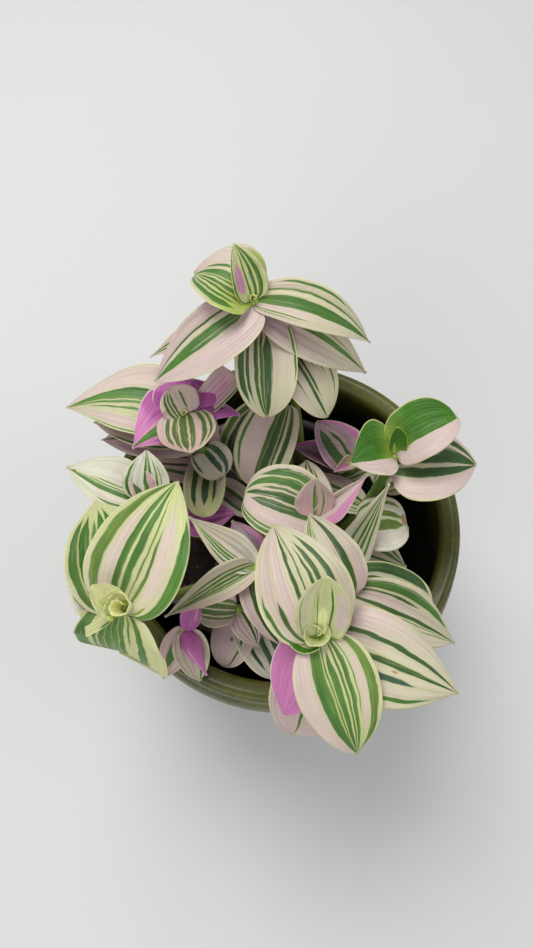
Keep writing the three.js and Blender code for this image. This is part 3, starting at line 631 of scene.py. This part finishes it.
def stem_look():
    """A stem: brown at its foot, olive with wine-red lines higher up and fresh green at the tip."""
    look = Look("stem_skin")
    along = look.blade()[1]
    spot = look.split(look.place())
    lines = look.noise(look.join(look.times(spot[0], 9.0), look.times(spot[1], 9.0), spot[2]), 130.0, 3.0)
    cloud = look.noise(look.place(), 60.0, 2.0)
    colour = look.mix(look.step(cloud, 0.35, 0.7), (0.18, 0.30, 0.05), (0.30, 0.36, 0.10))
    colour = look.lay(colour, along, 0.35, 0.65, 0.8, (0.11, 0.28, 0.025))
    colour = look.mix(look.step(along, 0.85, 1.0), colour, (0.28, 0.46, 0.05))
    colour = look.lay(colour, lines, 0.52, 0.66, 0.5, (0.26, 0.09, 0.13))
    colour = look.mix(look.step(along, 0.14, 0.0), colour, (0.12, 0.10, 0.035))
    return look.finish(
        colour, 0.38, look.bump(lines, 0.3, 0.0003),
        Subsurface_Weight=0.2, Subsurface_Radius=(0.004, 0.004, 0.002), Subsurface_Scale=0.4,
    )


def glaze_look():
    """Olive glaze: speckled, broken to brown on crisp edges, and darkened inside with painted shade."""
    look = Look("pot_glaze")
    place = look.place()
    spot = look.split(place)
    radius = look.math("SQRT", look.plus(look.times(spot[0], spot[0]), look.times(spot[1], spot[1])))
    cloud = look.noise(place, 38.0, 4.0, 0.6)
    speck = look.noise(place, 620.0, 2.0, 0.6)
    fleck = look.noise(place, 1500.0, 1.0)
    throw = look.noise(look.join(look.times(radius, 9.0), 0.0, spot[2]), 160.0, 3.0, 0.6)
    colour = look.mix(look.step(cloud, 0.35, 0.68), (0.046, 0.054, 0.006), (0.110, 0.118, 0.018))
    colour = look.lay(colour, throw, 0.45, 0.72, 0.55, (0.150, 0.150, 0.036))
    colour = look.lay(colour, speck, 0.56, 0.70, 0.75, (0.045, 0.040, 0.016))
    colour = look.lay(colour, fleck, 0.66, 0.76, 0.5, (0.28, 0.26, 0.13))
    # Brown line where the glaze thins on the crest of the rim, and painted shade inside: the inner wall
    # darkens to near black towards the bottom
    top = look.step(spot[2], 0.1255, 0.1275)
    off_crest = look.math("ABSOLUTE", look.minus(radius, CREST_RADIUS))
    crest = look.times(top, look.step(off_crest, 0.0011, 0.0003))
    colour = look.lay(colour, speck, 0.35, 0.6, look.times(crest, 0.8), (0.095, 0.085, 0.028))
    inside = look.blade()[0]
    # Painted shade: the inner wall goes near black below the rim
    colour = look.lay(colour, spot[2], 0.126, 0.092, look.times(inside, 0.97), (0.006, 0.006, 0.004))
    normal = look.bump(look.plus(look.times(throw, 0.8), look.times(speck, 0.25)), 0.35, 0.0004)
    rough = look.plus(0.26, look.times(speck, 0.22))
    return look.finish(colour, rough, normal, Coat_Weight=0.12, Coat_Roughness=0.10, Specular_IOR_Level=0.28)


def plastic_look():
    """Black plastic with fine rings and pale dust."""
    look = Look("nursery_plastic")
    place = look.place()
    rings = look.noise(look.join(0.0, 0.0, look.split(place)[2]), 900.0, 2.0)
    dust = look.noise(place, 260.0, 4.0, 0.65)
    colour = look.lay((0.010, 0.010, 0.011), dust, 0.55, 0.75, 0.5, (0.060, 0.052, 0.042))
    normal = look.bump(look.plus(rings, dust), 0.25, 0.0002)
    return look.finish(colour, look.plus(0.30, look.times(dust, 0.3)), normal)


def soil_look():
    """Dark crumbs with a few pale bits."""
    look = Look("potting_mix")
    place = look.place()
    clods = look.noise(place, 170.0, 6.0, 0.7)
    cells = look.node("ShaderNodeTexVoronoi", {"Vector": place, "Scale": 430.0}).outputs["Distance"]
    bits = look.noise(place, 380.0, 1.0)
    colour = look.mix(look.step(clods, 0.35, 0.7), (0.006, 0.004, 0.003), (0.040, 0.024, 0.014))
    colour = look.mix(look.step(bits, 0.68, 0.72), colour, (0.16, 0.11, 0.07))
    return look.finish(colour, 0.9, look.bump(look.plus(clods, look.times(cells, 0.5)), 0.9, 0.002))


class Piece:
    """Vertices, faces, material numbers and the blade coordinates of one visible piece."""

    def __init__(self, name):
        self.name = name
        self.points = []
        self.blade = []
        self.faces = []
        self.numbers = []
        self.materials = []
        self.count = 0

    def number(self, material):
        if material not in self.materials:
            self.materials.append(material)
        return self.materials.index(material)

    def add(self, points, faces, material, blade=None):
        """Adds points and faces, and gives the number of the first point."""
        points = np.asarray(points, dtype=float).reshape(-1, 3)
        start = self.count
        self.points.append(points)
        self.blade.append(np.zeros((len(points), 3)) if blade is None else blade)
        self.count += len(points)
        self.cover([[i + start for i in face] for face in faces], material)
        return start

    def cover(self, faces, material):
        number = self.number(material)
        self.faces += faces
        self.numbers += [number] * len(faces)

    def build(self, node):
        mesh = bpy.data.meshes.new(self.name)
        points = np.concatenate(self.points) * MM
        mesh.from_pydata(points.tolist(), [], self.faces)
        for material in self.materials:
            mesh.materials.append(material)
        mesh.polygons.foreach_set("material_index", self.numbers)
        mesh.polygons.foreach_set("use_smooth", [True] * len(self.faces))
        values = np.concatenate(self.blade).astype(np.float32)
        store = mesh.attributes.new("blade", "FLOAT_VECTOR", "POINT")
        store.data.foreach_set("vector", values.ravel())
        mesh.update()
        piece = bpy.data.objects.new(self.name, mesh)
        bpy.context.scene.collection.objects.link(piece)
        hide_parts(node)
        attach(piece, "root")


def bend_points(shoot):
    """The top of a stem's upright foot, the point that pulls its curve, and its growing tip."""
    return vec(*shoot["root"], STEM_START), vec(*shoot["bow"]), vec(*shoot["crown"])


def stem_place(shoot, t):
    a, b, c = bend_points(shoot)
    return (1 - t) ** 2 * a + 2 * t * (1 - t) * b + t * t * c


def stem_along(shoot, t):
    a, b, c = bend_points(shoot)
    return unit((1 - t) * (b - a) + t * (c - b))


def outline(s, form):
    """Half width of a blade at s, as a share of its widest."""
    base, peak, tip, full = FORMS[form]
    rising = base + (1 - base) * np.sqrt(np.clip(1 - (1 - s / peak) ** 2, 0, 1))
    falling = np.clip(1 - np.clip((s - peak) / (1 - peak), 0, 1) ** full, 0, 1) ** tip
    return np.where(s < peak, rising, falling)


def blade_sheet(base, serial, heading, rise, length, width, arch, roll, fold, cup, form, skew):
    """Points of a blade's middle sheet, in rows from base to tip, with s along it and a across it."""
    steps = max(BLADE_LEAST_STEPS, round(length / BLADE_STEP))
    columns = 2 * max(BLADE_LEAST_COLUMNS, round(width / BLADE_STEP / 2))
    h, r, tilt = math.radians(heading), math.radians(rise), math.radians(roll)
    chord = vec(math.cos(h) * math.cos(r), math.sin(h) * math.cos(r), math.sin(r))
    level = vec(-math.sin(h), math.cos(h), 0)
    upright = np.cross(chord, level)
    side = level * math.cos(tilt) + upright * math.sin(tilt)
    lift = upright * math.cos(tilt) - level * math.sin(tilt)
    crease, bend = math.radians(fold), math.radians(cup)

    s = np.linspace(0, 1, steps + 1)[:, None]
    a = np.linspace(-1, 1, columns + 1)[None, :]
    hand = np.sign(a)
    far = np.sqrt(a * a + BLADE_KEEL) - math.sqrt(BLADE_KEEL)
    far = far / far.max()
    middle = base + chord * (length * s[..., None]) + lift * (arch * length * 4 * (s * (1 - s))[..., None])
    tangent = chord + lift * (arch * 4 * (1 - 2 * s))[..., None]
    tangent = tangent / np.linalg.norm(tangent, axis=-1, keepdims=True)
    up = np.cross(tangent, side)
    reach = np.maximum(width / 2 * outline(s, form) * (1 + hand * skew), BLADE_TIP)
    angle = crease + bend * np.abs(a)
    out = reach * (np.sin(angle) - math.sin(crease)) / bend
    angle = crease + bend * far
    raised = reach * (math.cos(crease) - np.cos(angle)) / bend
    wave = BLADE_WAVE * width * a * a * np.sin(9 * s + 2.4 * serial + hand) * np.minimum(1, 4 * s)
    ruffle = np.sin(23 * s + 1.7 * serial + 2 * hand) * np.minimum(1, 5 * s) * (1 - s)
    wave = wave + BLADE_RUFFLE * np.abs(a) ** 3 * ruffle
    points = middle + side * (hand * out)[..., None] + up * (raised + wave)[..., None]
    return points, s, a


def grid_faces(rows, columns, start, flip=False):
    faces = []
    for i in range(rows):
        for j in range(columns):
            a = start + i * (columns + 1) + j
            face = (a, a + columns + 1, a + columns + 2, a + 1)
            faces.append(face[::-1] if flip else face)
    return faces


def add_sheet(piece, sheet, s, a, looks, chance):
    """A thin leaf-like sheet with two sides and a closed rim."""
    steps, columns = sheet.shape[0] - 1, sheet.shape[1] - 1
    normal = np.cross(np.gradient(sheet, axis=0), np.gradient(sheet, axis=1))
    normal /= np.maximum(np.linalg.norm(normal, axis=-1, keepdims=True), 1e-9)
    thick = BLADE_HALF_THICKNESS * (1 - MARGIN_THINNING * np.abs(a) ** 6) * (1 - TIP_THINNING * s ** 6)
    top = (sheet + normal * thick[..., None]).reshape(-1, 3)
    low = (sheet - normal * thick[..., None]).reshape(-1, 3)
    blade = np.stack([a + 0 * s, s + 0 * a, 0 * s + 0 * a + chance], axis=-1).reshape(-1, 3)
    start = piece.add(np.concatenate([top, low]), [], looks[0], np.concatenate([blade, blade]))
    size = len(top)
    piece.cover(grid_faces(steps, columns, start), looks[0])
    piece.cover(grid_faces(steps, columns, start + size, flip=True), looks[1])
    wide = columns + 1
    ring = [*range(columns), *(i * wide + columns for i in range(steps))]
    ring += [*(steps * wide + j for j in range(columns, 0, -1)), *(i * wide for i in range(steps, 0, -1))]
    rim = []
    for here, after in zip(ring, ring[1:] + ring[:1]):
        rim.append((start + here, start + after, start + size + after, start + size + here))
    piece.cover(rim, looks[0])


def add_blade(piece, shoot, serial, chance, leaf):
    """One leaf of the table, with its base on the middle line of the stem."""
    place, *shape, look = leaf[:10]
    form, skew, under = (*leaf[10:], *USUAL[len(leaf) - 10:])
    sheet, s, a = blade_sheet(stem_place(shoot, place), serial, *shape, form, skew)
    add_sheet(piece, sheet, s, a, (TOPS[look], UNDERS[under]), chance)


def add_curl(piece, shoot, curl):
    """A young leaf still rolled round the growing tip, as a flared spiral."""
    shift, heading, lean, radius, inner, height, turns, start, look = curl
    h, tilt = math.radians(heading), math.radians(lean)
    axis = vec(math.cos(h) * math.sin(tilt), math.sin(h) * math.sin(tilt), math.cos(tilt))
    first = unit(np.cross(axis, vec(0, 1, 0.3)))
    second = np.cross(axis, first)
    s = np.linspace(0, 1, CURL_ROWS + 1)[:, None]
    columns = max(CURL_LEAST_COLUMNS, round(CURL_COLUMNS * turns))
    a = np.linspace(-1, 1, columns + 1)[None, :]
    share = (a + 1) / 2
    turn = math.radians(start) + 2 * math.pi * turns * share
    flare = (0.45 + 0.55 * s ** 0.7) * (1 + 0.05 * np.sin(3.3 * turn + 3 * s))
    reach = radius * (inner + (1 - inner) * share ** 0.8) * flare
    tall = height * s * (0.72 + 0.28 * np.sin(math.pi * share ** 0.7)) + 0.06 * height * s * np.sin(7 * turn)
    round_axis = (reach * np.cos(turn))[..., None] * first + (reach * np.sin(turn))[..., None] * second
    sheet = stem_place(shoot, 1.0) + vec(*shift, 0) + round_axis + tall[..., None] * axis
    add_sheet(piece, sheet, s, a, (TOPS[look], TOPS[look]), CURL_CHANCE)


def circle(radius, sides, z, centre=(0, 0)):
    turns = [2 * math.pi * k / sides for k in range(sides)]
    return [(centre[0] + radius * math.cos(t), centre[1] + radius * math.sin(t), z) for t in turns]


def tube(piece, centres, alongs, radii, sides, material, shares):
    """A closed tube through the centres, with a flat cap at each end."""
    points = []
    for centre, along, radius in zip(centres, alongs, radii):
        across = unit(vec(1, 0, 0) - along * along[0])
        other = np.cross(along, across)
        for k in range(sides):
            turn = 2 * math.pi * k / sides
            points.append(centre + radius * (across * math.cos(turn) + other * math.sin(turn)))
    faces = []
    for i in range(len(centres) - 1):
        for k in range(sides):
            after = (k + 1) % sides
            faces.append((i * sides + k, i * sides + after, (i + 1) * sides + after, (i + 1) * sides + k))
    faces.append(tuple(range(sides))[::-1])
    last = (len(centres) - 1) * sides
    faces.append(tuple(last + k for k in range(sides)))
    blade = np.zeros((len(points), 3))
    blade[:, 1] = np.repeat(shares, sides)
    piece.add(points, faces, material, blade)


def add_stem(piece, shoot):
    """The stem, swollen a little at each joint."""
    joints = {round(leaf[0], 2) for leaf in shoot["leaves"]}
    ts = np.linspace(0, 1, STEM_STEPS + 1)
    root, upward = shoot["root"], vec(0, 0, 1)
    centres = [vec(*root, STEM_START - STEM_DEPTH), vec(*root, STEM_START - STEM_COLLAR)]
    alongs = [upward, upward]
    radii = [STEM_RADIUS, STEM_RADIUS]
    for t in ts:
        near = min(abs(t - joint) for joint in joints)
        swell = 1 + JOINT_SWELL * math.exp(-((near / JOINT_REACH) ** 2))
        centres.append(stem_place(shoot, t))
        alongs.append(unit(stem_along(shoot, t) + upward * max(0, 1 - t / STEM_TURN)))
        radii.append((STEM_RADIUS * (1 - t) + STEM_TIP_RADIUS * t) * STEM_SLACK * swell)
    tube(piece, centres, alongs, radii, STEM_SIDES, STEM, [0, 0, *ts])


def lathe(piece, profile, sides, material, centre=(0, 0)):
    """A turned shell: the profile starts and ends on the axis."""
    inner = profile[1:-1]
    points = [(*centre, profile[0][1])]
    for radius, z in inner:
        points += circle(radius, sides, z, centre)
    points.append((*centre, profile[-1][1]))
    last = len(points) - 1
    top = 1 + (len(inner) - 1) * sides
    faces = []
    for k in range(sides):
        after = (k + 1) % sides
        faces.append((0, 1 + after, 1 + k))
        faces.append((last, top + k, top + after))
        for a in range(1, top, sides):
            faces.append((a + k, a + after, a + sides + after, a + sides + k))
    piece.add(points, faces, material)


def smooth_profile(points, pieces):
    """The outline rounded through its points, which all stay on it, and never wider or taller."""
    widest = max(radius for radius, z in points)
    dense = [points[0]]
    for i in range(len(points) - 1):
        p0, p1, p2, p3 = (vec(*points[min(max(k, 0), len(points) - 1)]) for k in range(i - 1, i + 3))
        reach = np.linalg.norm(p2 - p1)
        m1 = unit(p2 - p0) * reach
        m2 = unit(p3 - p1) * reach
        straight = max(p1[0], p2[0]) < FLAT_RADIUS or p1[1] == p2[1]
        for k in range(1, pieces + 1):
            t = k / pieces
            q = p1 + (p2 - p1) * t
            if not straight:
                h = (2 * t**3 - 3 * t**2 + 1, t**3 - 2 * t**2 + t, -2 * t**3 + 3 * t**2, t**3 - t**2)
                q = h[0] * p1 + h[1] * m1 + h[2] * p2 + h[3] * m2
            dense.append((min(max(q[0], 0.0), widest), min(max(q[1], 0.0), POT_HEIGHT)))
    return dense


def make_pot():
    piece = Piece("cover_pot")
    profile = smooth_profile(POT_OUTLINE, POT_PIECES)
    lathe(piece, profile, POT_SIDES, glaze_look())
    # Marks the inner surface, where the glaze takes its painted shade
    crest = max(range(len(profile)), key=lambda i: profile[i][1])
    within = 1 + (crest - 1) * POT_SIDES
    piece.blade[0][within:, 0] = 1
    piece.build("pot")


def liner_radius(z):
    share = (z - LINER_BOTTOM) / LINER_HEIGHT
    return LINER_FOOT_RADIUS + (LINER_WALL_RADIUS - LINER_FOOT_RADIUS) * share


def make_liner():
    piece = Piece("grow_pot")
    top = LINER_BOTTOM + LINER_HEIGHT
    band = top - LINER_BAND
    floor = LINER_BOTTOM + LINER_WALL
    rim = LINER_RIM_RADIUS
    profile = [
        (0, LINER_BOTTOM), (LINER_FOOT_RADIUS - 1, LINER_BOTTOM),
        *((liner_radius(z), z) for z in np.linspace(LINER_BOTTOM + 1, band - 1, 24)),
        (liner_radius(band), band - 0.2), (rim - 1.0, band + 0.2), (rim - 0.4, band + 1.0),
        (rim, top - 1.2), (rim - 0.3, top - 0.3), (rim - 1, top), (liner_radius(top) - LINER_WALL + 0.4, top),
        *((liner_radius(z) - LINER_WALL, z) for z in np.linspace(top - 0.4, floor + 0.5, 30)),
        (0, floor),
    ]
    lathe(piece, profile, LINER_SIDES, plastic_look(), LINER_CENTRE)
    piece.build("nursery_pot")


def soil_height(x, y):
    wide = math.sin(x * 0.13 + 1.1) * math.cos(y * 0.11 - 0.4)
    fine = math.sin(x * 0.41 - 0.7) * math.sin(y * 0.37 + 2.1)
    return SOIL_LEVEL + SOIL_LUMP * (0.6 * wide + 0.4 * fine)


def make_soil():
    """A plug of soil whose top rises and falls in lumps and crumbs."""
    piece = Piece("potting_soil")
    random = np.random.default_rng(SOIL_SEED)
    bottom = LINER_BOTTOM + LINER_WALL + 0.3
    rim = liner_radius(SOIL_LEVEL - SOIL_LUMP) - LINER_WALL - SOIL_GAP
    foot = liner_radius(bottom) - LINER_WALL - SOIL_GAP
    points = [(0, 0, soil_height(0, 0))]
    for i in range(1, SOIL_RINGS + 1):
        for x, y, z in circle(rim * i / SOIL_RINGS, SOIL_SIDES, 0):
            crumb = SOIL_CRUMB * float(random.random() - 0.5) if i < SOIL_RINGS else 0.0
            points.append((x, y, soil_height(x, y) + crumb))
    points += [*circle(foot, SOIL_SIDES, bottom), (0, 0, bottom)]
    last = len(points) - 1
    top = 1 + SOIL_RINGS * SOIL_SIDES
    faces = []
    for k in range(SOIL_SIDES):
        after = (k + 1) % SOIL_SIDES
        faces.append((0, 1 + k, 1 + after))
        for a in range(1, top, SOIL_SIDES):
            faces.append((a + k, a + SOIL_SIDES + k, a + SOIL_SIDES + after, a + after))
        faces.append((last, top + after, top + k))
    points = [(x + LINER_CENTRE[0], y + LINER_CENTRE[1], z) for x, y, z in points]
    piece.add(points, faces, soil_look())
    piece.build("soil")


def make_shoot(name, shoot, first):
    piece = Piece(name.replace("shoot", "leafy_stem"))
    add_stem(piece, shoot)
    for serial, leaf in enumerate(shoot["leaves"]):
        chance = ((first + serial) * CHANCE_STEP) % 1.0
        add_blade(piece, shoot, serial, chance, leaf)
    for curl in CURLS.get(name, ()):
        add_curl(piece, shoot, curl)
    piece.build(name)


def area_light(name, place, size, power, colour):
    data = bpy.data.lights.new(name, "AREA")
    data.shape = "DISK"
    data.size = size
    data.energy = power
    data.color = colour
    light = bpy.data.objects.new(name, data)
    bpy.context.scene.collection.objects.link(light)
    light.location = place
    light.rotation_euler = (light.location - LIGHT_TARGET).to_track_quat("Z", "Y").to_euler()


def make_studio():
    """A plain pale floor under soft light."""
    mesh = bpy.data.meshes.new("floor")
    corners = [(-1, -1), (1, -1), (1, 1), (-1, 1)]
    mesh.from_pydata([(x * FLOOR_REACH, y * FLOOR_REACH, 0) for x, y in corners], [], [(0, 1, 2, 3)])
    look = Look("floor_paint")
    tone = look.noise(look.place(), 3.0, 3.0)
    mesh.materials.append(look.finish(look.mix(tone, *FLOOR_TONES), 0.7))
    plane = bpy.data.objects.new("floor", mesh)
    bpy.context.scene.collection.objects.link(plane)

    world = bpy.data.worlds.new("studio")
    bpy.context.scene.world = world
    world.use_nodes = True
    sky = world.node_tree.nodes["Background"].inputs
    sky[0].default_value = (*SKY_COLOUR, 1)
    sky[1].default_value = SKY_STRENGTH
    for name, light in LIGHTS.items():
        area_light(name, *light)


def make_camera():
    data = bpy.data.cameras.new("camera")
    data.sensor_width = CAMERA_SENSOR
    data.lens = CAMERA_LENS
    data.clip_start = CAMERA_NEAR
    camera = bpy.data.objects.new("camera", data)
    bpy.context.scene.collection.objects.link(camera)
    camera.location = CAMERA_PLACE
    camera.rotation_euler = (math.radians(CAMERA_TILT), 0, 0)
    bpy.context.scene.camera = camera


make_camera()
TOPS = {}
for key, (*ground, bands) in TOP_LOOKS.items():
    depth = YOUNG_DEPTH if key in YOUNG else OLD_DEPTH
    TOPS[key] = leaf_look(f"leaf_{key}", ground, bands, depth=depth)
UNDERS = {}
for key, (*ground, bands) in UNDER_LOOKS.items():
    UNDERS[key] = leaf_look(f"underside_{key}", ground, bands, under=True)
STEM = stem_look()
first = 0
for name, shoot in SHOOTS.items():
    make_shoot(name, shoot, first)
    first += len(shoot["leaves"])
make_pot()
make_liner()
make_soil()
make_studio()
bpy.context.scene.view_settings.view_transform = "Standard"
